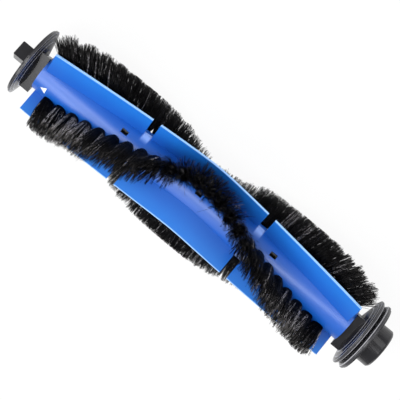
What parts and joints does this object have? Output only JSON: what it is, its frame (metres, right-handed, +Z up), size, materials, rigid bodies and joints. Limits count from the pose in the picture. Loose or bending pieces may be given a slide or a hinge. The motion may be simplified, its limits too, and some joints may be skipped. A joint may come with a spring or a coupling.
{
  "type": "robot vacuum roller brush",
  "caption": "Roller brush for a robot vacuum: round core with V-shaped wiper blades and tuft rows, a square drive peg at one end and a free-turning bearing cap at the other.",
  "frame": {"origin": "bottom centre of the part's box, below the middle of the brush as it lies on its tufts", "axes": "+X along the spin axis towards the square drive peg, +Z up"},
  "size_m": [0.1752, 0.0412, 0.041],
  "materials": {
    "core_plastic": "satin",
    "blade_rubber": "satin",
    "bristle_nylon": "matte",
    "end_plastic": "satin",
    "steel": "brushed",
    "bronze": "sintered",
    "washer_nylon": "matte"
  },
  "bodies": {
    "roller": {"brush_core": "core_plastic", "blade_1": "blade_rubber", "blade_2": "blade_rubber", "blade_3": "blade_rubber", "bristle_row_1": "bristle_nylon", "bristle_row_2": "bristle_nylon", "bristle_row_3": "bristle_nylon", "drive_hub": "end_plastic", "bearing_hub": "end_plastic", "axle_pin": "steel", "thrust_washer": "washer_nylon", "head_washer": "steel"},
    "cap": {"bearing_cap": "end_plastic", "bearing_bush": "bronze", "cap_cover": "end_plastic"}
  },
  "joints": [
    {"name": "cap_spin", "type": "hinge", "parent": "roller", "child": "cap", "pos_m": [-0.08397, 0, 0.02038], "axis": [1, 0, 0], "continuous": true}
  ]
}
